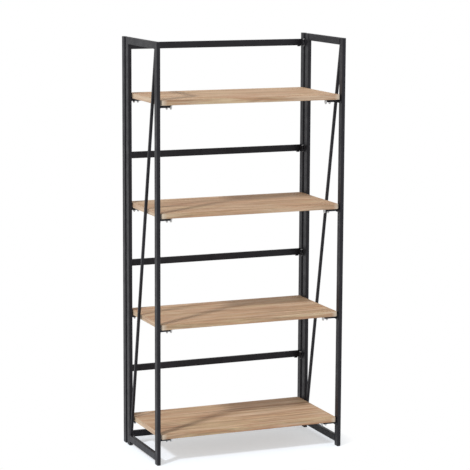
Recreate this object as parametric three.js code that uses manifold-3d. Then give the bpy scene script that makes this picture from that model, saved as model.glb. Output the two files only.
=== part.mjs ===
// Folding bookcase: two hinged side frames, a back frame and four boards that lift on rear pivots.
// Millimetres, +Z up, +Y to the back, origin on the floor under the middle of the frame.
import * as THREE from "three";
import { mergeVertices } from "three/addons/utils/BufferGeometryUtils.js";
import Module from "manifold-3d";

const wasm = await Module();
wasm.setup();

// Overall frame
const frameWidth = 600;
const frameDepth = 300;
const frameHeight = 1250;

// Rectangular tube of the posts, thin side across the width
const tubeThin = 11;
const tubeWide = 22;
const tubeWall = 1.2;
const tubeCorner = 1.6;

// Rails of the side frames and the bars of the back frame
const railTall = 21;
const railLift = 12;
const barTall = 20;
const barDeep = 9;
const barWall = 1;
const barCorner = 1.2;
const braceAcross = 8;
const braceCorner = 1;
const frameGap = 12;

// Small tab welded under each end of a bar
const tabLong = 10;
const tabDrop = 3;
const tabThick = 3;
const tabInset = 4;

// Boards
const boardCount = 4;
const boardThick = 15;
const lowestBoard = 77;
const topBoardDrop = 183;
const boardEndGap = 3;
const boardFrontInset = 3.5;
const boardRearInset = 14.5;
const boardCorner = 8;
const boardArris = 0.8;
const topBarDrop = 19;

// Pressed brackets under the board corners
const sheet = 1.5;
const bracketWide = 11;
const bracketDrop = 8.5;
const bracketChannel = 37;
const bracketTongue = 45;
const bracketNose = 1.5;
const bracketEar = 10;
const bendInside = 0.5;
const frontBracketSetback = 22;
const rearBracketSetback = 24;
const screwHole = 2.2;
const frontFirstScrew = 26;
const rearFirstScrew = 10;
const screwPitch = 12.5;
const tongueCorner = 3;

// Pivot pin of a board in the back post
const pinRadius = 2.5;
const pinClear = 0.3;
const pinBehindFace = 5;
const pinReach = 7;
const earLobe = 5.3;

// Seat that a front bracket drops over
const studRadius = 3;
const studReach = 16;
const seatLow = 11;
const seatCorner = 2;
const seatFrontInset = 4;

// Hinges between the side frames and the back frame
const knuckleRadius = 3.5;
const knuckleTall = 9.5;
const hingePinRadius = 2;
const hingeBoreClear = 0.2;
const hingeHead = 1.6;
const hingeHeadRadius = 3.1;
const hingeTail = 1.2;
const hingeBehindSide = 0.5;
const leafLong = 16;
const weldSink = 0.4;

// Glides in the tube ends
const glideTall = 4;
const glideInset = 0.2;
const glidePlug = 14;
const glideTaper = 1.2;

// Clearance between pieces that touch, overrun of a cutting solid and facets of a round
const seatGap = 0.3;
const overrun = 2;
const roundSteps = 16;
const cornerSteps = 2;

// Places worked out from the sizes above
const halfWidth = frameWidth / 2;
const halfDepth = frameDepth / 2;
const innerFace = halfWidth - tubeThin;
const postMiddle = halfWidth - tubeThin / 2;
const backPostFront = halfDepth - tubeWide;
const sideRearFace = backPostFront - frameGap;
const sideRearFront = sideRearFace - tubeWide;
const frontPostRear = tubeWide - halfDepth;
const boardHalf = innerFace - boardEndGap;
const boardFront = boardFrontInset - halfDepth;
const boardRear = halfDepth - boardRearInset;
const boardDeep = boardRear - boardFront;
const barAboveBoard = topBoardDrop - topBarDrop;
const boardPitch = (frameHeight - topBoardDrop - lowestBoard) / (boardCount - 1);
const pivotY = backPostFront + pinBehindFace;
const frontBracketY = boardFront + frontBracketSetback;
const rearBracketY = boardRear - rearBracketSetback;
const hingeX = innerFace - knuckleRadius;
const hingeY = sideRearFace + hingeBehindSide + knuckleRadius;
const barFront = halfDepth - barDeep;

const sides = [
  { name: "left", sign: -1 },
  { name: "right", sign: 1 },
];

const boards = Array.from({ length: boardCount }, (_, index) => ({
  number: index + 1,
  bottom: lowestBoard + index * boardPitch,
}));

const barTops = [railLift + railTall, ...boards.map((board) => board.bottom + barAboveBoard)];

// Materials, one fresh one for each mesh
function powderCoat() {
  return new THREE.MeshStandardMaterial({ color: 0x1b1b1e, roughness: 0.55, metalness: 0.35 });
}

function oakBoard() {
  return new THREE.MeshStandardMaterial({ color: 0xc9a37c, roughness: 0.6, metalness: 0 });
}

function blackPlastic() {
  return new THREE.MeshStandardMaterial({ color: 0x141414, roughness: 0.75, metalness: 0 });
}

function zincSteel() {
  return new THREE.MeshStandardMaterial({ color: 0x9a9c9e, roughness: 0.4, metalness: 0.9 });
}

// A closed geometry as a solid that can be joined and cut
function solidFrom(geometry) {
  const bare = geometry.index ? geometry.toNonIndexed() : geometry.clone();
  bare.deleteAttribute("normal");
  bare.deleteAttribute("uv");
  const merged = mergeVertices(bare);
  return new wasm.Manifold(
    new wasm.Mesh({
      numProp: 3,
      vertProperties: merged.attributes.position.array,
      triVerts: new Uint32Array(merged.index.array),
    }),
  );
}

// A solid as a geometry with flat facets
function geometryFrom(solid) {
  const mesh = solid.getMesh();
  const geometry = new THREE.BufferGeometry();
  geometry.setAttribute("position", new THREE.BufferAttribute(mesh.vertProperties, 3));
  geometry.setIndex(new THREE.BufferAttribute(mesh.triVerts, 1));
  const faceted = geometry.toNonIndexed();
  faceted.computeVertexNormals();
  return faceted;
}

function block(from, to) {
  const size = to.map((value, axis) => value - from[axis]);
  const middle = to.map((value, axis) => (value + from[axis]) / 2);
  const geometry = new THREE.BoxGeometry(...size);
  geometry.translate(...middle);
  return solidFrom(geometry);
}

// A rectangle with rounded corners, centred on the origin
function roundedOutline(wide, tall, radius) {
  const right = wide / 2;
  const top = tall / 2;
  const outline = new THREE.Shape();
  outline.absarc(right - radius, radius - top, radius, -Math.PI / 2, 0);
  outline.absarc(right - radius, top - radius, radius, 0, Math.PI / 2);
  outline.absarc(radius - right, top - radius, radius, Math.PI / 2, Math.PI);
  outline.absarc(radius - right, radius - top, radius, Math.PI, Math.PI * 1.5);
  outline.closePath();
  return outline;
}

function upright(outline, low, high) {
  const options = { depth: high - low, bevelEnabled: false, curveSegments: cornerSteps };
  const geometry = new THREE.ExtrudeGeometry(outline, options);
  geometry.translate(0, 0, low);
  return geometry;
}

// A rod along +Z between two heights
function rod(radius, low, high) {
  const geometry = new THREE.CylinderGeometry(radius, radius, high - low, roundSteps);
  geometry.rotateX(Math.PI / 2);
  geometry.translate(0, 0, (low + high) / 2);
  return geometry;
}

// A rod across the width, drawn out from one x towards another
function crossRod(radius, x0, x1, y, z) {
  const low = Math.min(x0, x1);
  const high = Math.max(x0, x1);
  const geometry = rod(radius, low, high);
  geometry.rotateY(Math.PI / 2);
  geometry.translate(0, y, z);
  return solidFrom(geometry);
}

// A straight open tube along +Z, turned and placed by the caller
function openTube(wide, tall, wall, corner, length) {
  const outline = roundedOutline(wide, tall, corner);
  const bore = roundedOutline(wide - 2 * wall, tall - 2 * wall, corner - wall / 2);
  outline.holes.push(bore);
  return upright(outline, -length / 2, length / 2);
}

const bookcase = new THREE.Group();

function addMesh(name, geometry, material) {
  const mesh = new THREE.Mesh(geometry, material);
  mesh.name = name;
  bookcase.add(mesh);
}

// A post that is closed on top and open at the foot, where the glide goes in
function postSolid(sign, middleY) {
  const outer = upright(roundedOutline(tubeThin, tubeWide, tubeCorner), glideTall, frameHeight);
  const boreOutline = roundedOutline(
    tubeThin - 2 * tubeWall,
    tubeWide - 2 * tubeWall,
    tubeCorner - tubeWall / 2,
  );
  const bore = upright(boreOutline, glideTall - overrun, frameHeight - tubeWall);
  outer.translate(sign * postMiddle, middleY, 0);
  bore.translate(sign * postMiddle, middleY, 0);
  return solidFrom(outer).subtract(solidFrom(bore));
}

// One knuckle and its leaf, welded to the inner face of a post
function hingeLeaf(sign, low, leafEndY) {
  const high = low + knuckleTall;
  const barrel = rod(knuckleRadius, low, high);
  barrel.translate(sign * hingeX, hingeY, 0);
  const plateX = [sign * (innerFace - sheet), sign * (innerFace + weldSink)].sort((a, b) => a - b);
  const plateY = [hingeY, leafEndY].sort((a, b) => a - b);
  const plate = block([plateX[0], plateY[0], low], [plateX[1], plateY[1], high]);
  const bore = rod(hingePinRadius + hingeBoreClear, low - overrun, high + overrun);
  bore.translate(sign * hingeX, hingeY, 0);
  return solidFrom(barrel).add(plate).subtract(solidFrom(bore));
}

// Heights of the hinges: one behind each bar that a raised board leans on
const hingeLows = boards.map((board) => {
  const barMiddle = board.bottom + barAboveBoard - barTall / 2;
  return barMiddle - knuckleTall - seatGap / 2;
});

function addBackPost(side) {
  let post = postSolid(side.sign, halfDepth - tubeWide / 2);
  for (const board of boards) {
    const axisZ = board.bottom + boardThick / 2;
    const holeEnd = innerFace + tubeWall + overrun;
    const hole = crossRod(
      pinRadius + pinClear,
      side.sign * (innerFace - overrun),
      side.sign * holeEnd,
      pivotY,
      axisZ,
    );
    post = post.subtract(hole);
  }
  for (const low of hingeLows) {
    const leaf = hingeLeaf(side.sign, low, hingeY + leafLong);
    post = post.add(leaf);
  }
  addMesh("back_post_" + side.name, geometryFrom(post), powderCoat());
}

function addBackBar(number, top) {
  const tube = openTube(barTall, barDeep, barWall, barCorner, 2 * innerFace);
  tube.rotateY(Math.PI / 2);
  tube.translate(0, barFront + barDeep / 2, top - barTall / 2);
  let bar = solidFrom(tube);
  for (const side of sides) {
    const ends = [innerFace - tabInset, innerFace - tabInset - tabLong];
    const tabX = ends.map((value) => side.sign * value).sort((a, b) => a - b);
    const tabLow = top - barTall - tabDrop;
    const tabFront = barFront + barCorner;
    const tab = block(
      [tabX[0], tabFront, tabLow],
      [tabX[1], tabFront + tabThick, tabLow + tabDrop + barWall],
    );
    bar = bar.add(tab);
  }
  addMesh("back_bar_" + number, geometryFrom(bar), powderCoat());
}

function addSideFrame(side) {
  const frontPost = postSolid(side.sign, tubeWide / 2 - halfDepth);
  addMesh("side_front_post_" + side.name, geometryFrom(frontPost), powderCoat());

  let rearPost = postSolid(side.sign, sideRearFace - tubeWide / 2);
  for (const low of hingeLows) {
    const leaf = hingeLeaf(side.sign, low + knuckleTall + seatGap, hingeY - leafLong);
    rearPost = rearPost.add(leaf);
  }
  addMesh("side_rear_post_" + side.name, geometryFrom(rearPost), powderCoat());

  const railLength = sideRearFront - frontPostRear;
  const railMiddle = (sideRearFront + frontPostRear) / 2;
  const railPlaces = { top: frameHeight - railTall / 2, bottom: railLift + railTall / 2 };
  for (const [place, railZ] of Object.entries(railPlaces)) {
    const rail = openTube(tubeThin, railTall, tubeWall, tubeCorner, railLength);
    rail.rotateX(Math.PI / 2);
    rail.translate(side.sign * postMiddle, railMiddle, railZ);
    addMesh("side_" + place + "_rail_" + side.name, geometryFrom(solidFrom(rail)), powderCoat());
  }
  addMesh("side_brace_" + side.name, geometryFrom(braceSolid(side)), powderCoat());
}

// A square bar from the top front corner to the bottom rear corner, trimmed to fit both
function braceSolid(side) {
  const low = railLift + railTall;
  const high = frameHeight - railTall;
  const run = sideRearFront - frontPostRear;
  const rise = high - low;
  const length = Math.hypot(run, rise) + 2 * overrun;
  const bar = upright(roundedOutline(braceAcross, braceAcross, braceCorner), -length / 2, length / 2);
  bar.rotateX(Math.atan2(run, rise));
  bar.translate(side.sign * postMiddle, (sideRearFront + frontPostRear) / 2, (low + high) / 2);
  const reach = braceAcross;
  const middle = side.sign * postMiddle;
  const corner = block([middle - reach, frontPostRear, low], [middle + reach, sideRearFront, high]);
  return solidFrom(bar).intersect(corner);
}

function addGlide(name, sign, middleY) {
  const wide = tubeThin - 2 * glideInset;
  const tall = tubeWide - 2 * glideInset;
  const sole = upright(roundedOutline(wide, tall, tubeCorner), glideTaper, glideTall);
  const footOutline = roundedOutline(wide - glideTaper, tall - glideTaper, tubeCorner);
  const foot = upright(footOutline, 0, glideTaper);
  const plugOutline = roundedOutline(
    tubeThin - 2 * (tubeWall + seatGap),
    tubeWide - 2 * (tubeWall + seatGap),
    tubeCorner - tubeWall / 2,
  );
  const plug = upright(plugOutline, glideTall, glideTall + glidePlug);
  const glide = solidFrom(sole).add(solidFrom(foot)).add(solidFrom(plug));
  const geometry = geometryFrom(glide);
  geometry.translate(sign * postMiddle, middleY, 0);
  addMesh(name, geometry, blackPlastic());
}

function addBoard(board) {
  const plan = roundedOutline(
    2 * (boardHalf - boardArris),
    boardDeep - 2 * boardArris,
    boardCorner - boardArris,
  );
  const geometry = new THREE.ExtrudeGeometry(plan, {
    depth: boardThick - 2 * boardArris,
    bevelEnabled: true,
    bevelThickness: boardArris,
    bevelSize: boardArris,
    bevelSegments: 1,
    curveSegments: 2 * cornerSteps,
  });
  geometry.translate(0, (boardFront + boardRear) / 2, board.bottom + boardArris);
  addMesh("shelf_board_" + board.number, geometryFrom(solidFrom(geometry)), oakBoard());
}

// The pressed channel: web and upturned end in one bend, side flanges and two screw holes.
// Drawn for the right-hand end of a board, with x measured inboard from that end.
function channelSolid(firstScrew) {
  const half = bracketWide / 2;
  const outside = -seatGap - sheet;
  const bendOutside = bendInside + sheet;
  const under = -sheet - seatGap;
  const strip = new THREE.Shape();
  strip.moveTo(bracketTongue, under);
  strip.lineTo(bracketTongue, -seatGap);
  strip.absarc(-seatGap + bendInside, -seatGap + bendInside, bendInside, Math.PI * 1.5, Math.PI, true);
  strip.lineTo(-seatGap, bracketEar);
  strip.lineTo(outside, bracketEar);
  strip.absarc(outside + bendOutside, under + bendOutside, bendOutside, Math.PI, Math.PI * 1.5);
  strip.closePath();
  const bend = new THREE.ExtrudeGeometry(strip, {
    depth: bracketWide,
    bevelEnabled: false,
    curveSegments: cornerSteps,
  });
  bend.rotateX(Math.PI / 2);
  bend.translate(0, half, 0);
  let channel = solidFrom(bend);

  const cheek = new THREE.Shape();
  cheek.moveTo(0, -sheet / 2 - seatGap);
  cheek.lineTo(0, -bracketDrop);
  cheek.lineTo(bracketChannel - bracketNose, -bracketDrop);
  cheek.lineTo(bracketChannel, -sheet / 2 - seatGap);
  cheek.closePath();
  for (const cheekY of [half, sheet - half]) {
    const flange = new THREE.ExtrudeGeometry(cheek, { depth: sheet, bevelEnabled: false });
    flange.rotateX(Math.PI / 2);
    flange.translate(0, cheekY, 0);
    channel = channel.add(solidFrom(flange));
  }

  for (const place of [firstScrew, firstScrew + screwPitch]) {
    const drill = rod(screwHole, -sheet - seatGap - overrun, overrun);
    drill.translate(place, 0, 0);
    channel = channel.subtract(solidFrom(drill));
  }
  for (const end of [-1, 1]) {
    const snip = new THREE.Shape();
    snip.moveTo(bracketTongue - tongueCorner, end * half);
    snip.lineTo(bracketTongue, end * (half - tongueCorner));
    snip.lineTo(bracketTongue + overrun, end * (half - tongueCorner));
    snip.lineTo(bracketTongue + overrun, end * (half + overrun));
    snip.lineTo(bracketTongue - tongueCorner, end * (half + overrun));
    snip.closePath();
    const cutter = upright(snip, -sheet - seatGap - overrun, overrun);
    channel = channel.subtract(solidFrom(cutter));
  }
  return channel;
}

// The rear bracket's end ear with its lobe round the pivot pin, in the same frame
function pivotEar() {
  const half = bracketWide / 2;
  const pinY = pivotY - rearBracketY;
  const pinZ = boardThick / 2;
  const ear = new THREE.Shape();
  ear.moveTo(-half, -sheet / 2 - seatGap);
  ear.lineTo(half, -sheet / 2 - seatGap);
  ear.absarc(pinY, pinZ, earLobe, -Math.PI / 3, Math.PI / 2);
  ear.lineTo(-half, bracketEar);
  ear.closePath();
  const plate = new THREE.ExtrudeGeometry(ear, {
    depth: sheet,
    bevelEnabled: false,
    curveSegments: 2 * cornerSteps,
  });
  plate.rotateY(Math.PI / 2);
  plate.rotateX(Math.PI / 2);
  plate.translate(-seatGap - sheet, 0, 0);
  const pinTip = -boardEndGap - pinReach;
  const pin = crossRod(pinRadius, -seatGap - sheet / 2, pinTip, pinY, pinZ);
  return solidFrom(plate).add(pin);
}

// Places a corner piece at the right-hand end, or mirrors it to the left-hand end
function atBoardEnd(solid, side, y, z) {
  const mirrored = side.sign > 0 ? solid.mirror([1, 0, 0]) : solid;
  return mirrored.translate([side.sign * boardHalf, y, z]);
}

function addBrackets(board) {
  for (const side of sides) {
    const front = atBoardEnd(channelSolid(frontFirstScrew), side, frontBracketY, board.bottom);
    const frontName = "shelf_bracket_" + board.number + "_front_" + side.name;
    addMesh(frontName, geometryFrom(front), powderCoat());
    const hinged = channelSolid(rearFirstScrew).add(pivotEar());
    const rear = atBoardEnd(hinged, side, rearBracketY, board.bottom);
    const rearName = "shelf_bracket_" + board.number + "_rear_" + side.name;
    addMesh(rearName, geometryFrom(rear), powderCoat());
  }
}

// A plate on the front post's inner face with the stud that carries the front bracket
function addSeat(board, side) {
  const plateX = [side.sign * (innerFace - sheet), side.sign * innerFace].sort((a, b) => a - b);
  const webUnder = board.bottom - seatGap - sheet;
  const studZ = webUnder - seatGap - studRadius;
  const high = webUnder - seatGap;
  const front = seatFrontInset - halfDepth;
  const rear = frontBracketY + studRadius + seatCorner;
  const plate = block([plateX[0], front, board.bottom - seatLow], [plateX[1], rear, high]);
  const studEnd = side.sign * (innerFace - studReach);
  const stud = crossRod(studRadius, side.sign * (innerFace - sheet / 2), studEnd, frontBracketY, studZ);
  const name = "shelf_seat_" + board.number + "_" + side.name;
  addMesh(name, geometryFrom(plate.add(stud)), powderCoat());
}

// A headed pin through both knuckles of one hinge
function addHingePin(number, side, low) {
  const bottom = low - hingeTail;
  const top = low + 2 * knuckleTall + 2 * seatGap;
  const shank = solidFrom(rod(hingePinRadius, bottom, top + hingeHead));
  const head = solidFrom(rod(hingeHeadRadius, top, top + hingeHead));
  const geometry = geometryFrom(shank.add(head));
  geometry.translate(side.sign * hingeX, hingeY, 0);
  addMesh("hinge_pin_" + side.name + "_" + number, geometry, zincSteel());
}

for (const side of sides) {
  addBackPost(side);
  addSideFrame(side);
  addGlide("glide_front_" + side.name, side.sign, tubeWide / 2 - halfDepth);
  addGlide("glide_middle_" + side.name, side.sign, sideRearFace - tubeWide / 2);
  addGlide("glide_back_" + side.name, side.sign, halfDepth - tubeWide / 2);
  hingeLows.forEach((low, index) => addHingePin(index + 1, side, low));
}

barTops.forEach((top, index) => addBackBar(index + 1, top));

for (const board of boards) {
  addBoard(board);
  addBrackets(board);
  for (const side of sides) {
    addSeat(board, side);
  }
}

export default bookcase;
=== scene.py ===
from math import cos, hypot, pi, radians, sin

import bmesh
import bpy
from mathutils import Matrix, Vector


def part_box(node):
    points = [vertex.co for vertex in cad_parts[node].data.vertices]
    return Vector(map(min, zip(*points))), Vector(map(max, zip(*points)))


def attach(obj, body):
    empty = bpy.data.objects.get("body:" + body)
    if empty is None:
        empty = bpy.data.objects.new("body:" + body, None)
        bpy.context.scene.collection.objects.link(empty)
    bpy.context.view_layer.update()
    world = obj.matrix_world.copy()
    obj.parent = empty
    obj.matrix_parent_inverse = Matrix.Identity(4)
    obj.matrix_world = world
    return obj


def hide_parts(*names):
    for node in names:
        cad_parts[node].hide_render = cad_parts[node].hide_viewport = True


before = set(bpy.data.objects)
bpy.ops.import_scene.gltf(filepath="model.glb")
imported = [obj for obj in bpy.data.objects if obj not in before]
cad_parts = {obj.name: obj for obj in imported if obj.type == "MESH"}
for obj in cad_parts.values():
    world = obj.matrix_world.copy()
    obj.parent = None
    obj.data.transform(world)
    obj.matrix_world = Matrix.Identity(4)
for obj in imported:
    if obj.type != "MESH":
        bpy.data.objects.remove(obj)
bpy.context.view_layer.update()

mm = 0.001  # pieces are drawn in millimetres and brought to metres at the end
aligned = 0.99  # least cosine of a direction that counts as along an axis
sides = {"left": -1, "right": 1}
shelfNumbers = range(1, 5)
barNumbers = range(1, 6)
hingeNumbers = range(1, 5)
white, black = (1, 1, 1, 1), (0, 0, 0, 1)
scene = bpy.context.scene

camera = {
    "place": (-2.2588, -5.4232, 1.6072),
    "yaw": 22.681,  # from +Y towards +X
    "pitch": 9.235,  # looking down
    "roll": 0.274,
    "lens": 150.40,
    "sensor": 36,
    "farthest": 50,
}


def addCamera():
    shot = bpy.data.cameras.new("photoView")
    shot.sensor_width = camera["sensor"]
    shot.lens = camera["lens"]
    shot.clip_end = camera["farthest"]
    view = bpy.data.objects.new("photoView", shot)
    scene.collection.objects.link(view)
    turn = Matrix.Rotation(-radians(camera["yaw"]), 4, "Z")
    turn = turn @ Matrix.Rotation(radians(90 - camera["pitch"]), 4, "X")
    turn = turn @ Matrix.Rotation(radians(camera["roll"]), 4, "Z")
    view.matrix_world = Matrix.Translation(camera["place"]) @ turn
    scene.camera = view


light = {
    "keyFrom": 211,  # bearing of the key light from +X: the left, and partly the front
    "keyRise": 42,
    "keySpread": 6,  # how wide the lamp looks, in degrees, for soft shadow edges
    "keyStrength": 1.75,
    "keyAway": 3,  # metres, though this lamp shines alike from any distance
    "room": 0.58,  # what the white room adds to matt surfaces
}


def addKeyLight():
    lamp = bpy.data.lights.new("keyLight", "SUN")
    lamp.angle = radians(light["keySpread"])
    lamp.energy = light["keyStrength"]
    holder = bpy.data.objects.new("keyLight", lamp)
    scene.collection.objects.link(holder)
    bearing, rise = radians(light["keyFrom"]), radians(light["keyRise"])
    away = Vector((cos(bearing) * cos(rise), sin(bearing) * cos(rise), sin(rise)))
    holder.location = away * light["keyAway"]
    holder.rotation_euler = away.to_track_quat("Z", "Y").to_euler()


# short ways to make and join shader nodes


def feed(tree, node, values):
    # sets the node's sockets, each to a plain value or to another node's output
    for key, value in values.items():
        if isinstance(value, bpy.types.NodeSocket):
            tree.links.new(value, node.inputs[key])
        else:
            node.inputs[key].default_value = value


def addNode(tree, kind, values=None, **settings):
    node = tree.nodes.new(kind)
    for key, value in settings.items():
        setattr(node, key, value)
    feed(tree, node, values or {})
    return node


def newFinish(name):
    # a material with a bare Principled shader, and its object coordinates
    finish = bpy.data.materials.new(name)
    finish.use_nodes = True
    tree = finish.node_tree
    shader = tree.nodes["Principled BSDF"]
    place = addNode(tree, "ShaderNodeTexCoord").outputs["Object"]
    return finish, tree, shader, place


def stretched(tree, place, scale, shift=(0, 0, 0)):
    values = {"Vector": place, "Scale": scale, "Location": shift}
    return addNode(tree, "ShaderNodeMapping", values).outputs["Vector"]


def noise(tree, place, scale, detail=2.0, roughness=0.5, distortion=0.0):
    values = {"Vector": place, "Scale": scale, "Detail": detail, "Roughness": roughness}
    values["Distortion"] = distortion
    return addNode(tree, "ShaderNodeTexNoise", values).outputs["Fac"]


def remap(tree, value, fromLow, fromHigh, toLow, toHigh):
    values = {"Value": value, "From Min": fromLow, "From Max": fromHigh}
    values.update({"To Min": toLow, "To Max": toHigh})
    return addNode(tree, "ShaderNodeMapRange", values, clamp=True).outputs["Result"]


def ramp(tree, value, stops):
    node = addNode(tree, "ShaderNodeValToRGB", {"Fac": value})
    points = node.color_ramp.elements
    while len(points) < len(stops):
        points.new(0.5)
    for point, (at, colour) in zip(points, stops):
        point.position = at
        point.color = (*colour, 1)
    return node.outputs["Color"]


# the Mix node's sockets go by number: 0 is the share, 4 and 5 are vectors, 6 and 7 are colours
def mixVector(tree, share, first, second):
    values = {0: share, 4: first, 5: second}
    return addNode(tree, "ShaderNodeMix", values, data_type="VECTOR").outputs[1]


def mixColour(tree, share, first, second, blend="MIX"):
    values = {0: share, 6: first, 7: second}
    settings = {"data_type": "RGBA", "blend_type": blend}
    return addNode(tree, "ShaderNodeMix", values, **settings).outputs[2]


def maths(tree, operation, first, second=0.0):
    return addNode(tree, "ShaderNodeMath", {0: first, 1: second}, operation=operation).outputs[0]


def vectorMaths(tree, operation, first, second=(0, 0, 0)):
    node = addNode(tree, "ShaderNodeVectorMath", {0: first, 1: second}, operation=operation)
    return node.outputs["Value" if operation == "LENGTH" else "Vector"]


def splitAxes(tree, place):
    return addNode(tree, "ShaderNodeSeparateXYZ", {"Vector": place}).outputs


def joinAxes(tree, **axes):
    return addNode(tree, "ShaderNodeCombineXYZ", axes).outputs["Vector"]


def bump(tree, height, depth, under=None):
    values = {"Height": height, "Distance": depth, "Strength": 1.0}
    if under:
        values["Normal"] = under
    return addNode(tree, "ShaderNodeBump", values).outputs["Normal"]


# in the finishes, cells are counted per metre, and a tone is a place in the noise with its colour
coat = {
    "tones": [(0.35, (0.0102, 0.0098, 0.0120)), (0.68, (0.0162, 0.0156, 0.0184))],
    "toneCells": 14,
    "roughness": (0.3, 0.7, 0.42, 0.56),  # from and to in the noise, then in roughness
    "roughnessCells": 40,
    "specular": 0.285,
    "specularTint": (0.95, 0.93, 1.0, 1),
    "scuff": (0.050, 0.050, 0.052, 1),
    "scuffCells": 130,
    "scuffLimit": 0.73,  # how high the noise has to be for a scuff
    "scuffEdge": 0.05,
    "scuffShare": 0.6,
    "lowHeight": 0.16,  # up to here the limit is lower, by as much as lowDrop at the floor
    "lowDrop": 0.10,
    "peelCells": 260,
    "peelDepth": 0.00016,
    "grainCells": 1500,  # the powder's fine skin
    "grainDepth": 0.00010,
}


def powderCoat():
    finish, tree, shader, place = newFinish("blackPowderCoat")
    cloud = noise(tree, place, coat["toneCells"], detail=3)
    gloss = noise(tree, place, coat["roughnessCells"], detail=4)
    # small scuffs, more of them low down where shoes and a broom reach
    height = splitAxes(tree, place)["Z"]
    lowDown = remap(tree, height, 0.0, coat["lowHeight"], coat["lowDrop"], 0.0)
    limit = maths(tree, "SUBTRACT", coat["scuffLimit"], lowDown)
    fleck = noise(tree, place, coat["scuffCells"], detail=4, roughness=0.65)
    over = maths(tree, "SUBTRACT", fleck, limit)
    scuffed = remap(tree, over, 0.0, coat["scuffEdge"], 0.0, coat["scuffShare"])
    peel = noise(tree, place, coat["peelCells"], detail=1)
    grain = noise(tree, place, coat["grainCells"], detail=2)
    values = {
        "Base Color": mixColour(tree, scuffed, ramp(tree, cloud, coat["tones"]), coat["scuff"]),
        "Roughness": remap(tree, gloss, *coat["roughness"]),
        "Normal": bump(tree, grain, coat["grainDepth"], bump(tree, peel, coat["peelDepth"])),
        "Specular IOR Level": coat["specular"],
        "Specular Tint": coat["specularTint"],
    }
    feed(tree, shader, values)
    return finish


wood = {
    "pale": (0.715, 0.528, 0.362),
    "tan": (0.605, 0.430, 0.280),
    "brown": (0.455, 0.302, 0.184),
    "streak": (0.270, 0.165, 0.098),
    "warm": (0.630, 0.405, 0.255),
    "red": (0.475, 0.240, 0.132),
    "honey": (0.690, 0.520, 0.295),
    "bleached": (0.780, 0.665, 0.520),
    "tones": [(0.35, "streak"), (0.43, "brown"), (0.49, "tan"), (0.56, "pale")],
    # each noise: its cells along X, Y and Z, shift, detail, roughness and distortion
    "wander": ((2.2, 7, 7), (0, 0, 0), 2),
    "broad": ((2.2, 26, 26), (0, 0, 0), 4, 0.55, 0.4),
    "narrow": ((3.4, 95, 95), (5, 2, 9), 5, 0.6, 0.3),
    "patch": ((1.6, 9, 9), (3, 1, 7), 2),
    "hair": ((7, 260, 260), (0, 0, 0), 3, 0.6),
    "pore": ((75, 1500, 1500), (0, 0, 0), 2),
    "sway": 0.012,  # metres that the grain wanders to either side
    "broadShare": 0.35,  # of the broad noise in the figure; the narrow one has the rest
    # streaks of other tints, some broad and some a millimetre or two wide:
    # tint, cells, shift, from and to in the noise, share
    "tinted": [
        ("honey", (5, 38, 38), (9, 3, 1), 0.47, 0.62, 0.50),
        ("red", (4.5, 55, 55), (2, 6, 4), 0.46, 0.62, 0.62),
        ("red", (10, 170, 170), (7, 1, 3), 0.49, 0.63, 0.55),
    ],
    "streakGrain": (4, 0.6, 0.3),  # their detail, roughness and distortion
    # from and to in the noise, then in what it sets
    "warmShare": (0.45, 0.7, 0.0, 0.45),
    "hairShade": (0.32, 0.60, 0.78, 1.07),
    "poreShade": (0.60, 0.70, 1.0, 0.72),
    "roughness": (0.3, 0.7, 0.74, 0.62),
    "poreDepth": 0.00006,
    "hairDepth": 0.00008,
    "specular": 0.24,
    # dark marks in the decor: middle and reach along X, Y and Z in metres, strength
    "marks": [
        ((0.008, -0.146, 1.070), (0.034, 0.010, 0.0022), 0.8),
        ((-0.16, -0.118, 0.752), (0.060, 0.0022, 0.004), 0.5),
        ((0.118, -0.104, 0.422), (0.052, 0.0024, 0.004), 0.5),
        ((-0.20, -0.085, 0.092), (0.070, 0.0026, 0.004), 0.5),
        ((0.20, -0.040, 0.092), (0.050, 0.0024, 0.004), 0.45),
    ],
    "markCore": 0.35,  # share of its reach where a mark is at full strength
    "middle": (0, -0.0055, 0),  # of the boards, whose height doesn't count here
    # distances from that middle in metres, from where to where something sets in
    "endFace": (0.2835, 0.2855),
    "bleachEnd": (0.266, 0.280),
    "bleachSide": (0.119, 0.133),
    "bleachShare": (0.2, 0.5),  # on all of the end, and what its corners add
    "cornerMiddle": (0.278, 0.133, 9),  # of a corner's arc, with a height that nothing reaches
    "band": (0.0066, 0.0071),  # the edge band, measured from the middle of that arc
}


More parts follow.
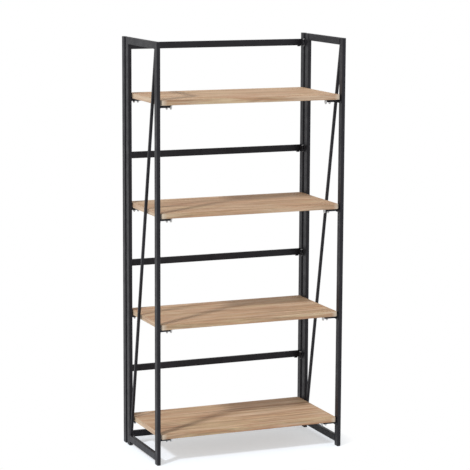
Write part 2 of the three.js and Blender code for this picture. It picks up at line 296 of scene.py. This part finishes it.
def oakDecor():
    finish, tree, shader, place = newFinish("oakDecor")

    def grain(name, vector):
        scale, shift, *look = wood[name]
        return noise(tree, stretched(tree, vector, scale, shift), 1.0, *look)

    # folded is the place on one quarter of the board, measured from its middle
    folded = vectorMaths(tree, "SUBTRACT", place, wood["middle"])
    folded = vectorMaths(tree, "ABSOLUTE", folded)
    out = splitAxes(tree, folded)
    # the grain runs along X and wanders a little, and along Y on the edge band of the ends
    sway = remap(tree, grain("wander", place), 0.0, 1.0, -wood["sway"], wood["sway"])
    along = vectorMaths(tree, "ADD", place, joinAxes(tree, Y=sway, Z=sway))
    axes = splitAxes(tree, place)
    turned = joinAxes(tree, X=axes["Y"], Y=axes["X"], Z=axes["Z"])
    endFace = remap(tree, out["X"], *wood["endFace"], 0.0, 1.0)
    bent = mixVector(tree, endFace, along, turned)

    broad = maths(tree, "MULTIPLY", grain("broad", bent), wood["broadShare"])
    narrow = maths(tree, "MULTIPLY", grain("narrow", bent), 1 - wood["broadShare"])
    figure = maths(tree, "ADD", broad, narrow)
    colour = ramp(tree, figure, [(at, wood[tint]) for at, tint in wood["tones"]])
    for tint, scale, shift, low, high, share in wood["tinted"]:
        streak = stretched(tree, bent, scale, shift)
        streak = noise(tree, streak, 1.0, *wood["streakGrain"])
        streak = remap(tree, streak, low, high, 0.0, share)
        colour = mixColour(tree, streak, colour, (*wood[tint], 1))
    patch = remap(tree, grain("patch", place), *wood["warmShare"])
    colour = mixColour(tree, patch, colour, (*wood["warm"], 1))
    hair = grain("hair", bent)
    shade = remap(tree, hair, *wood["hairShade"])
    colour = mixColour(tree, 1.0, colour, shade, "MULTIPLY")
    pores = remap(tree, grain("pore", bent), *wood["poreShade"])
    colour = mixColour(tree, 1.0, colour, pores, "MULTIPLY")
    for middle, reach, strength in wood["marks"]:
        scale = [1 / size for size in reach]
        shift = [-at / size for at, size in zip(middle, reach)]
        near = vectorMaths(tree, "LENGTH", stretched(tree, bent, scale, shift))
        mark = remap(tree, near, wood["markCore"], 1.0, strength, 0.0)
        colour = mixColour(tree, mark, colour, (*wood["streak"], 1))

    # the edge band is bleached where it bends round the corners of a board
    beyond = vectorMaths(tree, "SUBTRACT", folded, wood["cornerMiddle"])
    depth = vectorMaths(tree, "LENGTH", vectorMaths(tree, "MAXIMUM", beyond))
    band = remap(tree, depth, *wood["band"], 0.0, 1.0)
    atEnd = remap(tree, out["X"], *wood["bleachEnd"], 0.0, 1.0)
    atSide = remap(tree, out["Y"], *wood["bleachSide"], 0.0, 1.0)
    atCorner = maths(tree, "MULTIPLY", atEnd, atSide)
    endShare, cornerShare = wood["bleachShare"]
    atEnd = maths(tree, "MULTIPLY", atEnd, endShare)
    atCorner = maths(tree, "MULTIPLY", atCorner, cornerShare)
    bleached = maths(tree, "MULTIPLY", band, maths(tree, "ADD", atEnd, atCorner))
    values = {
        "Base Color": mixColour(tree, bleached, colour, (*wood["bleached"], 1)),
        "Roughness": remap(tree, hair, *wood["roughness"]),
        "Normal": bump(tree, pores, wood["poreDepth"], bump(tree, hair, wood["hairDepth"])),
        "Specular IOR Level": wood["specular"],
    }
    feed(tree, shader, values)
    return finish


zincPlate = {
    "name": "brightZinc",
    "tones": [(0.3, (0.46, 0.47, 0.48)), (0.7, (0.62, 0.62, 0.62))],
    "toneCells": 420,
    "roughness": (0.3, 0.7, 0.38, 0.52),
    "metallic": 1.0,
    "skinCells": 2600,
    "skinDepth": 0.00003,
}
glidePlastic = {
    "name": "mattBlackPlastic",
    "tones": [(0.3, (0.010, 0.010, 0.010)), (0.7, (0.020, 0.020, 0.020))],
    "toneCells": 60,
    "roughness": (0.3, 0.7, 0.55, 0.7),
    "metallic": 0.0,
    "skinCells": 2200,
    "skinDepth": 0.00008,
}


def cloudedFinish(look):
    # for small fittings: tone and gloss change together, over a fine skin
    finish, tree, shader, place = newFinish(look["name"])
    cloud = noise(tree, place, look["toneCells"], detail=3)
    skin = noise(tree, place, look["skinCells"], detail=2)
    values = {
        "Base Color": ramp(tree, cloud, look["tones"]),
        "Roughness": remap(tree, cloud, *look["roughness"]),
        "Metallic": look["metallic"],
        "Normal": bump(tree, skin, look["skinDepth"]),
    }
    feed(tree, shader, values)
    return finish


finishes = {
    "frame_coat": powderCoat(),
    "oak_board": oakDecor(),
    "zinc": cloudedFinish(zincPlate),
    "glide": cloudedFinish(glidePlastic),
}


def whiteToCamera(tree):
    # 1 for rays that see the room directly or in a reflection, 0 for the light it gives
    ray = addNode(tree, "ShaderNodeLightPath").outputs
    seen = maths(tree, "ADD", ray["Is Camera Ray"], ray["Is Glossy Ray"])
    seen = maths(tree, "ADD", seen, ray["Is Transmission Ray"])
    return maths(tree, "MINIMUM", seen, 1.0)


def addWorld():
    world = bpy.data.worlds.new("whiteRoom")
    world.use_nodes = True
    scene.world = world
    tree = world.node_tree
    strength = remap(tree, whiteToCamera(tree), 0.0, 1.0, light["room"], 1.0)
    feed(tree, tree.nodes["Background"], {"Color": white, "Strength": strength})


floor = {
    "half": 60.0,
    "colour": (0.663, 0.730, 0.812, 1),
    "roughness": 0.9,
    "lift": 0.48,  # a light of its own, which brings the lit floor up to white
    "reach": (0.31, 0.28),  # the shadow is kept whole inside this ellipse, and fades outside it
    "fade": 0.25,
}


def paleFloor():
    paper, tree, shader, place = newFinish("paleFloor")
    scale = [1 / size for size in floor["reach"]] + [0]
    out = vectorMaths(tree, "LENGTH", stretched(tree, place, scale))
    far = remap(tree, out, 1.0, 1.0 + floor["fade"], 0.0, 1.0)
    seen = whiteToCamera(tree)
    lift = remap(tree, far, 0.0, 1.0, floor["lift"], 1.0)
    plain = maths(tree, "MULTIPLY", seen, far)
    values = {
        "Base Color": mixColour(tree, plain, floor["colour"], black),
        "Roughness": floor["roughness"],
        "Specular IOR Level": 0.0,
        "Emission Color": white,
        "Emission Strength": maths(tree, "MULTIPLY", seen, lift),
    }
    feed(tree, shader, values)
    return paper


def addFloor():
    ground = bmesh.new()
    bmesh.ops.create_grid(ground, x_segments=1, y_segments=1, size=floor["half"])
    mesh = bpy.data.meshes.new("floor")
    ground.to_mesh(mesh)
    ground.free()
    mesh.materials.append(paleFloor())
    plane = bpy.data.objects.new("floor", mesh)
    scene.collection.objects.link(plane)


# ways to shape a part, which stays a bmesh in millimetres until makePiece


def corners(node):
    # lowest and highest corner of a CAD node, in millimetres
    low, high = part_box(node)
    return low / mm, high / mm


def everything(part):
    return list(part.verts) + list(part.edges) + list(part.faces)


def edgesAlong(part, axis):
    runs = [(edge, edge.verts[1].co - edge.verts[0].co) for edge in part.edges]
    return [edge for edge, run in runs if abs(run.normalized()[axis]) > aligned]


def facesTowards(part, axis, ways):
    part.normal_update()
    faces = [(face, face.normal[axis]) for face in part.faces]
    return [face for face, normal in faces if any(normal * way > aligned for way in ways)]


def roundEdges(part, edges, size, steps, affect="EDGES"):
    bmesh.ops.bevel(
        part,
        geom=list(edges),
        offset=size,
        offset_type="OFFSET",
        segments=steps,
        profile=0.5,
        affect=affect,
        clamp_overlap=True,
        material=-1,
    )


def roundEnds(part, axis, size, steps=2, ways=(-1, 1)):
    # rounds the rim of the end faces that look along an axis
    ends = facesTowards(part, axis, ways)
    rims = dict.fromkeys(edge for face in ends for edge in face.edges)  # each edge once, in order
    roundEdges(part, rims, size, steps)


def placePart(part, place, turn=None):
    if turn:
        bmesh.ops.rotate(part, cent=(0, 0, 0), matrix=turn, verts=part.verts)
    bmesh.ops.translate(part, vec=place, verts=part.verts)
    return part


def flipPart(part):
    # mirrors a part in X
    bmesh.ops.scale(part, vec=(-1, 1, 1), verts=part.verts)
    bmesh.ops.recalc_face_normals(part, faces=part.faces)
    return part


def blockPart(low, high):
    part = bmesh.new()
    bmesh.ops.create_cube(part, size=1.0)
    bmesh.ops.scale(part, vec=high - low, verts=part.verts)
    return placePart(part, (low + high) / 2)


def barPart(low, high, axis, corner, rim=0.0, steps=4):
    # a bar along an axis, with rounded corners and, where rim is given, rounded ends
    part = blockPart(low, high)
    roundEdges(part, edgesAlong(part, axis), corner, steps)
    if rim:
        roundEnds(part, axis, rim)
    return part


def rodPart(radius, tall, facets=28):
    # a cylinder or prism about the Z axis, with its middle at the origin
    part = bmesh.new()
    sizes = {"radius1": radius, "radius2": radius, "depth": tall}
    bmesh.ops.create_cone(part, cap_ends=True, segments=facets, **sizes)
    return part


def turnedPart(outline, steps=28):
    # a round piece about the Z axis, from (radius, height) points that start and end on it
    part = bmesh.new()
    points = [part.verts.new((radius, 0, height)) for radius, height in outline]
    edges = [part.edges.new(pair) for pair in zip(points, points[1:])]
    bmesh.ops.spin(
        part,
        geom=points + edges,
        cent=(0, 0, 0),
        axis=(0, 0, 1),
        angle=2 * pi,
        steps=steps,
        use_merge=True,
    )
    bmesh.ops.remove_doubles(part, verts=part.verts, dist=0.0005)
    bmesh.ops.recalc_face_normals(part, faces=part.faces)
    return part


def sidewaysPart(outline, sign, y, z):
    # a turned piece along X: the outline's heights are distances from the bookcase's middle
    return placePart(turnedPart(outline), (0, y, z), Matrix.Rotation(sign * pi / 2, 3, "Y"))


def pullEdges(part, edges):
    # extrudes edges, and gives the new points, which still lie on the old ones
    made = bmesh.ops.extrude_edge_only(part, edges=edges)["geom"]
    return [item for item in made if isinstance(item, bmesh.types.BMVert)]


def makePiece(name, parts, slot, body, replaced=(), crease=38):
    whole = bmesh.new()
    for part in parts:
        loose = bpy.data.meshes.new("loose")
        part.to_mesh(loose)
        part.free()
        whole.from_mesh(loose)
        bpy.data.meshes.remove(loose)
    bmesh.ops.scale(whole, vec=(mm, mm, mm), verts=whole.verts)
    whole.normal_update()
    for face in whole.faces:
        face.smooth = True
    for edge in whole.edges:
        edge.smooth = len(edge.link_faces) == 2 and edge.calc_face_angle() < radians(crease)
    mesh = bpy.data.meshes.new(name)
    whole.to_mesh(mesh)
    whole.free()
    mesh.materials.append(finishes[slot])
    piece = bpy.data.objects.new(name, mesh)
    scene.collection.objects.link(piece)
    evenShading = piece.modifiers.new("evenShading", "WEIGHTED_NORMAL")
    evenShading.keep_sharp = True
    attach(piece, body)
    if replaced:
        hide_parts(*replaced)
    return piece


post = {
    "names": {
        "side_front_post": "frontPost",
        "side_rear_post": "rearPost",
        "back_post": "backPost",
    },
    "outer": 300,  # from the bookcase's middle to the outer face
    "wide": 11,
    "deep": 22,
    "corner": 1.6,
    "rim": 0.6,
    "wall": 1.2,
}
post["inner"] = post["outer"] - post["wide"]
hinge = {
    "axisY": 120,
    "barrel": 3.5,
    "tall": 9.5,
    "gap": 0.3,
    "rim": 0.35,
    "leaf": 16,
    "sheet": 1.5,
    "leafCorner": 2.5,
    "leafRim": 0.3,
    "sink": 0.4,
    "pinBelow": 1.2,  # how far the pin stands out under the lower knuckle
}


def tubePart(low, high):
    # open at the foot, where the glide goes in
    part = barPart(low, high, 2, post["corner"])
    roundEnds(part, 2, post["rim"], ways=(1,))
    foot = facesTowards(part, 2, (-1,))
    bmesh.ops.delete(part, geom=foot, context="FACES_ONLY")
    bmesh.ops.solidify(part, geom=part.faces, thickness=post["wall"])
    return part


def leafPart(sign, low, reach):
    # one knuckle and its leaf on the inner face of a post; reach is +1 backwards or -1 forwards
    innerFace = sign * post["inner"]
    pinX, pinY = sign * (post["inner"] - hinge["barrel"]), hinge["axisY"]
    high = low + hinge["tall"]
    barrel = rodPart(hinge["barrel"], hinge["tall"])
    placePart(barrel, (pinX, pinY, (low + high) / 2))
    roundEnds(barrel, 2, hinge["rim"])
    xs = sorted((innerFace - sign * hinge["sheet"], innerFace + sign * hinge["sink"]))
    ys = sorted((pinY, pinY + reach * hinge["leaf"]))
    leaf = blockPart(Vector((xs[0], ys[0], low)), Vector((xs[1], ys[1], high)))
    middleY = sum(ys) / 2
    far = [edge for edge in edgesAlong(leaf, 0) if (edge.verts[0].co.y - middleY) * reach > 0]
    roundEdges(leaf, far, hinge["leafCorner"], 4)
    roundEnds(leaf, 0, hinge["leafRim"], ways=(-sign,))
    return [barrel, leaf]


def addPosts():
    for side, sign in sides.items():
        outer = sign * post["outer"]
        for place, name in post["names"].items():
            node = f"{place}_{side}"
            low, high = corners(node)
            low.x, high.x = sorted((outer, outer - sign * post["wide"]))
            if place == "back_post":
                low.y = high.y - post["deep"]
            else:
                high.y = low.y + post["deep"]
            parts = [tubePart(low, high)]
            for number in hingeNumbers:
                knuckleLow = corners(f"hinge_pin_{side}_{number}")[0].z + hinge["pinBelow"]
                if place == "back_post":
                    parts += leafPart(sign, knuckleLow, 1)
                if place == "side_rear_post":
                    parts += leafPart(sign, knuckleLow + hinge["tall"] + hinge["gap"], -1)
            makePiece(name + side.capitalize(), parts, "frame_coat", "frame", [node])


rail = {
    "names": {"top_rail": "topRail", "bottom_rail": "bottomRail"},
    "corner": 1.6,
    "barCorner": 1.3,
    "barTall": 20,
    # the tab under each end of a crossbar
    "tabX": (275, 285),
    "tabY": (1.2, 4.2),  # from the bar's front face
    "tabSink": 1,
    "tabCorner": 0.5,
    "tabRim": 0.3,
    "braceAcross": 8,
    "braceCorner": 1.0,
    "braceSpare": 30,  # extra length at each end, which the trims cut off
}
rail["braceX"] = post["outer"] - post["wide"] / 2


def bracePart(sign, opening):
    # a square bar from corner to corner of the side opening, trimmed by its four edges
    lowY, lowZ, highY, highZ = opening
    run, rise = highY - lowY, highZ - lowZ
    half = rail["braceAcross"] / 2
    reach = hypot(run, rise) / 2 + rail["braceSpare"]
    low, high = Vector((-half, -half, -reach)), Vector((half, half, reach))
    part = barPart(low, high, 2, rail["braceCorner"])
    lean = Vector((0, 0, 1)).rotation_difference(Vector((0, -run, rise))).to_matrix()
    placePart(part, (sign * rail["braceX"], (lowY + highY) / 2, (lowZ + highZ) / 2), lean)
    trims = [((0, lowY, 0), (0, -1, 0)), ((0, highY, 0), (0, 1, 0))]
    trims += [((0, 0, lowZ), (0, 0, -1)), ((0, 0, highZ), (0, 0, 1))]
    for point, outward in trims:
        plane = {"plane_co": point, "plane_no": outward, "clear_outer": True}
        cut = bmesh.ops.bisect_plane(part, geom=everything(part), **plane)
        rim = [item for item in cut["geom_cut"] if isinstance(item, bmesh.types.BMEdge)]
        if rim:
            bmesh.ops.contextual_create(part, geom=rim)
    bmesh.ops.recalc_face_normals(part, faces=part.faces)
    return part


def addSideFrames():
    for side, sign in sides.items():
        for place, name in rail["names"].items():
            node = f"side_{place}_{side}"
            part = barPart(*corners(node), 1, rail["corner"])
            makePiece(name + side.capitalize(), [part], "frame_coat", "frame", [node])
        topLow, topHigh = corners(f"side_top_rail_{side}")
        bottomHigh = corners(f"side_bottom_rail_{side}")[1]
        part = bracePart(sign, (topLow.y, bottomHigh.z, topHigh.y, topLow.z))
        node = f"side_brace_{side}"
        makePiece("brace" + side.capitalize(), [part], "frame_coat", "frame", [node])


def addCrossbars():
    for number in barNumbers:
        node = f"back_bar_{number}"
        low, high = corners(node)
        tabLow = low.z
        low.z = high.z - rail["barTall"]
        parts = [barPart(low, high, 0, rail["barCorner"])]
        for sign in sides.values():
            xs = sorted(sign * x for x in rail["tabX"])
            front, back = rail["tabY"]
            tabFrom = Vector((xs[0], low.y + front, tabLow))
            tabTo = Vector((xs[1], low.y + back, low.z + rail["tabSink"]))
            parts.append(barPart(tabFrom, tabTo, 1, rail["tabCorner"], rail["tabRim"]))
        makePiece(f"crossbar{number}", parts, "frame_coat", "frame", [node])


weld = {
    "radius": 1.3,
    "facets": 10,
    "pitch": 1.7,
    "ripple": 0.16,
    "cut": 0.6,
    "taper": 6,  # a higher number gives a bead blunter ends
    "endSize": 0.35,
    # how far a bead stops short of the corners of what it joins
    "shyUp": 2,
    "shy": 1.5,
    "shyBrace": 1,
    "crease": 60,
}


def weldPart(start, end):
    # a rippled bead from point to point, thinner at its ends
    start, end = Vector(start), Vector(end)
    run = end - start
    part = rodPart(weld["radius"], run.length, weld["facets"])
    cuts = int(run.length / weld["cut"])
    bmesh.ops.subdivide_edges(part, edges=edgesAlong(part, 2), cuts=cuts)
    half = run.length / 2
    for point in part.verts:
        fade = (1 - min(abs(point.co.z) / half, 1.0) ** weld["taper"]) ** 0.5
        ripple = 1 + weld["ripple"] * cos(2 * pi * point.co.z / weld["pitch"])
        swell = ripple * max(fade, weld["endSize"])
        point.co.x *= swell
        point.co.y *= swell
    turn = Vector((0, 0, 1)).rotation_difference(run).to_matrix()
    return placePart(part, (start + end) / 2, turn)


def uprightWeld(x, y, low, high):
    return weldPart((x, y, low + weld["shyUp"]), (x, y, high - weld["shyUp"]))


def addWelds():
    for side, sign in sides.items():
        inner = sign * post["inner"]
        near = sign * (post["inner"] + weld["shy"])
        far = sign * (post["outer"] - weld["shy"])
        parts = []
        for place, under in (("top_rail", True), ("bottom_rail", False)):
            low, high = corners(f"side_{place}_{side}")
            across = low.z if under else high.z
            for y in (low.y, high.y):
                parts.append(uprightWeld(inner, y, low.z, high.z))
                parts.append(weldPart((near, y, across), (far, y, across)))

        # across each of the four faces where a brace ends
        low, high = corners(f"side_brace_{side}")
        slope = (high.y - low.y) / (high.z - low.z)
        half = rail["braceAcross"] / 2
        shiftY = half * hypot(1, slope)
        shiftZ = half * hypot(1, slope) / slope
        near = sign * (rail["braceX"] - half + weld["shyBrace"])
        far = sign * (rail["braceX"] + half - weld["shyBrace"])
        for y, z in (
            (low.y, high.z - shiftZ),
            (low.y + shiftY, high.z),
            (high.y, low.z + shiftZ),
            (high.y - shiftY, low.z),
        ):
            parts.append(weldPart((near, y, z), (far, y, z)))

        for number in barNumbers:
            low, high = corners(f"back_bar_{number}")
            low.z = high.z - rail["barTall"]
            parts.append(uprightWeld(inner, low.y, low.z, high.z))
            front, back = low.y + weld["shy"], high.y - weld["shy"]
            for z in (low.z, high.z):
                parts.append(weldPart((inner, front, z), (inner, back, z)))
        name = "weldBeads" + side.capitalize()
        makePiece(name, parts, "frame_coat", "frame", crease=weld["crease"])


glide = {
    "sole": 4,
    "taper": 1.2,
    "clear": 0.1,  # to the wall of the tube
    "sink": 0.5,  # of the plug into the sole
    "plugCorner": 1.0,
    "plugRim": 0.6,
}


def addGlides():
    for side in sides:
        for place in ("front", "middle", "back"):
            node = f"glide_{place}_{side}"
            low, high = corners(node)
            soleTop = Vector((high.x, high.y, low.z + glide["sole"]))
            sole = barPart(low, soleTop, 2, post["corner"] - glide["clear"])
            roundEnds(sole, 2, glide["taper"], 3, (-1,))
            inset = post["wall"] + glide["clear"]
            plugLow = low + Vector((inset, inset, glide["sole"] - glide["sink"]))
            plugHigh = high - Vector((inset, inset, 0))
            plug = barPart(plugLow, plugHigh, 2, glide["plugCorner"], glide["plugRim"])
            name = f"glide{place.capitalize()}{side.capitalize()}"
            makePiece(name, [sole, plug], "glide", "frame", [node])


hingePin = {
    "shank": 2.0,
    "tip": 0.5,
    "head": 3.1,
    "tall": 1.6,
    "dome": 0.7,
    "domeAngles": (0.5, 1.0),
    "arris": (0.2, 0.25),  # in and up, under the rim of the head
}


def addHingePins():
    shank, head, tip, dome = [hingePin[key] for key in ("shank", "head", "tip", "dome")]
    arrisIn, arrisUp = hingePin["arris"]
    for side in sides:
        for number in hingeNumbers:
            node = f"hinge_pin_{side}_{number}"
            low, high = corners(node)
            middle = (low + high) / 2
            top = high.z - low.z
            under = top - hingePin["tall"]
            outline = [(0, 0), (shank - tip, 0), (shank, tip), (shank, under)]
            outline += [(head - arrisIn, under), (head, under + arrisUp), (head, top - dome)]
            for angle in hingePin["domeAngles"]:
                outline.append((head * cos(angle), top - dome + dome * sin(angle)))
            outline.append((0, top))
            part = placePart(turnedPart(outline), (middle.x, middle.y, low.z))
            makePiece(f"hingePin{side.capitalize()}{number}", [part], "zinc", "frame", [node])


board = {"corner": 8, "arris": 0.8, "band": 1.0, "seam": 0.22, "seamDepth": 0.12}


def boardPart(low, high):
    # a decor board with an edge band, whose seam is a fine groove on the top and underside
    part = barPart(low, high, 2, board["corner"], steps=8)
    roundEnds(part, 2, board["arris"], 3)
    for way in (-1, 1):
        face = facesTowards(part, 2, (way,))
        bmesh.ops.inset_region(part, faces=face, thickness=board["band"], use_even_offset=True)
        for depth in (-board["seamDepth"], board["seamDepth"]):
            bmesh.ops.inset_region(part, faces=face, thickness=board["seam"], depth=depth)
    return part


def addBoards():
    for number in shelfNumbers:
        node = f"shelf_board_{number}"
        part = boardPart(*corners(node))
        makePiece(f"board{number}", [part], "oak_board", f"shelf_{number}", [node])


bracket = {
    "sheet": 1.5,
    "gap": 0.3,  # under the board and beside its end
    "wide": 11,
    "drop": 8.5,
    "channel": 37,
    "tongue": 45,
    "nose": 1.5,
    "ear": 10,
    "bend": 1.25,  # radius in the middle of the sheet
    "foldAngle": 45,  # edges that are sharper than this get the bend
    "tip": 3,
    "pivotBack": 21.5,  # from the bracket's middle
    "lobe": 5.2,
    "lobeRound": 0.98,
    "slack": 0.1,  # in finding a point by its place
    "rim": 0.25,
    "rimAngle": 50,
}
pivot = {
    "y": 133,
    "up": 7.5,  # from the underside of the board
    "inner": 287.0,
    "shoulderEnd": 288.7,
    "shoulder": 4.2,
    "pin": 2.5,
    "chamfer": 0.5,
}


def bracketPart(rear):
    # the middle of the sheet: web, cheeks and ear, drawn with X inboard from the board's end
    channel, tongue, slack = bracket["channel"], bracket["tongue"], bracket["slack"]
    sheetHalf = bracket["sheet"] / 2
    level = -bracket["gap"] - sheetHalf  # the height of the web, and the place of the ear in X
    half = bracket["wide"] / 2 - sheetHalf
    part = bmesh.new()
    bmesh.ops.create_grid(part, x_segments=1, y_segments=1, size=0.5)
    bmesh.ops.scale(part, vec=(tongue - level, 2 * half, 1), verts=part.verts)
    placePart(part, ((tongue + level) / 2, 0, level))
    plane = {"plane_co": (channel, 0, 0), "plane_no": (1, 0, 0)}
    bmesh.ops.bisect_plane(part, geom=everything(part), **plane)

    # the cheeks hang down along the channel, and slope at its nose
    flanks = edgesAlong(part, 0)
    flanks = [edge for edge in flanks if max(v.co.x for v in edge.verts) < channel + slack]
    for point in pullEdges(part, flanks):
        point.co.z = -bracket["drop"]
        if point.co.x > channel - slack:
            point.co.x -= bracket["nose"]

    # the ear stands up beside the board's end, and at the rear it has a lobe for the pivot
    end = [edge for edge in edgesAlong(part, 1) if edge.verts[0].co.x < level + slack]
    for point in pullEdges(part, end):
        point.co.z = bracket["ear"]
    if rear:
        lobe, earMiddle = bracket["lobe"], bracket["ear"] / 2
        upright = [edge for edge in edgesAlong(part, 2) if edge.verts[0].co.y > half - slack]
        side = [edge for edge in upright if max(v.co.z for v in edge.verts) > earMiddle]
        points = pullEdges(part, side)
        for point in points:
            point.co.z = pivot["up"] + (lobe if point.co.z > earMiddle else -lobe)
            point.co.y = bracket["pivotBack"] + lobe
        roundEdges(part, points, lobe * bracket["lobeRound"], 8, "VERTICES")

    inside = [edge for edge in part.edges if len(edge.link_faces) == 2]
    sharp = radians(bracket["foldAngle"])
    folds = [edge for edge in inside if edge.calc_face_angle() > sharp]
    roundEdges(part, folds, bracket["bend"], 4)
    # the tongue's end keeps the full width of the bracket
    tips = [point for point in part.verts if point.co.x > tongue - slack]
    for point in tips:
        point.co.y *= bracket["wide"] / 2 / half
    roundEdges(part, tips, bracket["tip"], 3, "VERTICES")
    bmesh.ops.recalc_face_normals(part, faces=part.faces)
    return part


def giveSheet(piece):
    # the thickness of the sheet metal and its soft rims, before the even shading
    thick = piece.modifiers.new("sheetMetal", "SOLIDIFY")
    thick.thickness = bracket["sheet"] * mm
    thick.offset = 0
    thick.use_even_offset = True
    soft = piece.modifiers.new("softRim", "BEVEL")
    soft.width = bracket["rim"] * mm
    soft.segments = 2
    soft.limit_method = "ANGLE"
    soft.angle_limit = radians(bracket["rimAngle"])
    piece.modifiers.move(0, 2)


def addBrackets():
    for number in shelfNumbers:
        boardLow, boardHigh = corners(f"shelf_board_{number}")
        for side, sign in sides.items():
            for place in ("front", "rear"):
                node = f"shelf_bracket_{number}_{place}_{side}"
                middleY = corners(node)[0].y + bracket["wide"] / 2
                part = bracketPart(place == "rear")
                if sign > 0:
                    flipPart(part)
                placePart(part, (sign * boardHigh.x, middleY, boardLow.z))
                name = f"bracket{number}{place.capitalize()}{side.capitalize()}"
                giveSheet(makePiece(name, [part], "frame_coat", f"shelf_{number}", [node]))


capNut = {
    "inboard": {"front": (26, 38.5), "rear": (10, 22.5)},  # from the board's end
    "washer": 3.9,
    "washerTall": 1.1,
    "washerRim": 0.2,
    "flats": 7.4,
    "hexTall": 5.4,
    "chamfer": 0.45,
    "dome": 3.45,
    "domeTall": 6.4,
    "domeSink": 0.3,  # into the hexagon
    "domeWall": 0.35,  # share of the dome that is straight
    "domeAngles": (0.3, 0.6, 0.9, 1.2),
}


def capNutParts():
    # hangs from z = 0 downwards: a washer, the hexagon and its dome
    washerTall, hexTall, domeTall = capNut["washerTall"], capNut["hexTall"], capNut["domeTall"]
    washer = placePart(rodPart(capNut["washer"], washerTall), (0, 0, -washerTall / 2))
    roundEnds(washer, 2, capNut["washerRim"])
    hexagon = rodPart(capNut["flats"] / 2 / cos(radians(30)), hexTall, 6)
    turn = Matrix.Rotation(pi / 2, 3, "Z")
    placePart(hexagon, (0, 0, -washerTall - hexTall / 2), turn)
    roundEnds(hexagon, 2, capNut["chamfer"])
    radius, wall = capNut["dome"], capNut["domeWall"]
    start = -washerTall - hexTall + capNut["domeSink"]
    outline = [(0, start), (radius, start), (radius, start - domeTall * wall)]
    for angle in capNut["domeAngles"]:
        down = wall + (1 - wall) * sin(angle)
        outline.append((radius * cos(angle), start - domeTall * down))
    outline.append((0, start - domeTall))
    return [washer, hexagon, turnedPart(outline)]


def addFasteners():
    web = -bracket["gap"] - bracket["sheet"]
    for number in shelfNumbers:
        boardLow, boardHigh = corners(f"shelf_board_{number}")
        parts = []
        for side, sign in sides.items():
            for place, inboards in capNut["inboard"].items():
                low = corners(f"shelf_bracket_{number}_{place}_{side}")[0]
                middleY = low.y + bracket["wide"] / 2
                for inboard in inboards:
                    where = (sign * (boardHigh.x - inboard), middleY, boardLow.z + web)
                    parts += [placePart(part, where) for part in capNutParts()]
        makePiece(f"capNuts{number}", parts, "zinc", f"shelf_{number}")


def addPivots():
    # a shouldered pin on each rear ear, which turns in the back post
    pin, chamfer = pivot["pin"], pivot["chamfer"]
    inner, shoulderEnd = pivot["inner"], pivot["shoulderEnd"]
    for number in shelfNumbers:
        for side, sign in sides.items():
            low, high = corners(f"shelf_bracket_{number}_rear_{side}")
            boardLow = corners(f"shelf_board_{number}")[0]
            tip = max(abs(low.x), abs(high.x))
            outline = [(0, inner), (pivot["shoulder"], inner), (pivot["shoulder"], shoulderEnd)]
            outline += [(pin, shoulderEnd), (pin, tip - chamfer), (pin - chamfer, tip), (0, tip)]
            part = sidewaysPart(outline, sign, pivot["y"], boardLow.z + pivot["up"])
            makePiece(f"pivotPin{number}{side.capitalize()}", [part], "zinc", f"shelf_{number}")


seat = {
    "sheet": 1.5,
    "corner": 2.0,
    "rim": 0.3,
    "stud": 3.0,
    "studY": -124.5,
    "studFoot": 288,  # the stud starts inside the plate
    "chamfer": 0.6,
}


def addSeats():
    stud, chamfer = seat["stud"], seat["chamfer"]
    for number in shelfNumbers:
        for side, sign in sides.items():
            node = f"shelf_seat_{number}_{side}"
            low, high = corners(node)
            reach = min(abs(low.x), abs(high.x))
            inner = sign * post["inner"]
            xs = sorted((inner, inner - sign * seat["sheet"]))
            plateLow, plateHigh = Vector((xs[0], low.y, low.z)), Vector((xs[1], high.y, high.z))
            plate = barPart(plateLow, plateHigh, 0, seat["corner"])
            roundEnds(plate, 0, seat["rim"], ways=(-sign,))
            outline = [(0, reach), (stud - chamfer, reach), (stud, reach + chamfer)]
            outline += [(stud, seat["studFoot"]), (0, seat["studFoot"])]
            peg = sidewaysPart(outline, sign, seat["studY"], high.z - stud)
            name = f"seat{number}{side.capitalize()}"
            makePiece(name, [plate, peg], "frame_coat", "frame", [node])


addCamera()
addKeyLight()
addWorld()
addFloor()
print("camera, key light and room are in place")
addPosts()
print("posts and hinge leaves are done")
addSideFrames()
addCrossbars()
addWelds()
print("rails, braces, crossbars and welds are done")
addGlides()
addHingePins()
print("glides and hinge pins are done")
addBoards()
print("boards are done")
addBrackets()
addFasteners()
addPivots()
addSeats()
print("brackets, cap nuts, pivots and seats are done")

scene.view_settings.view_transform = "Standard"
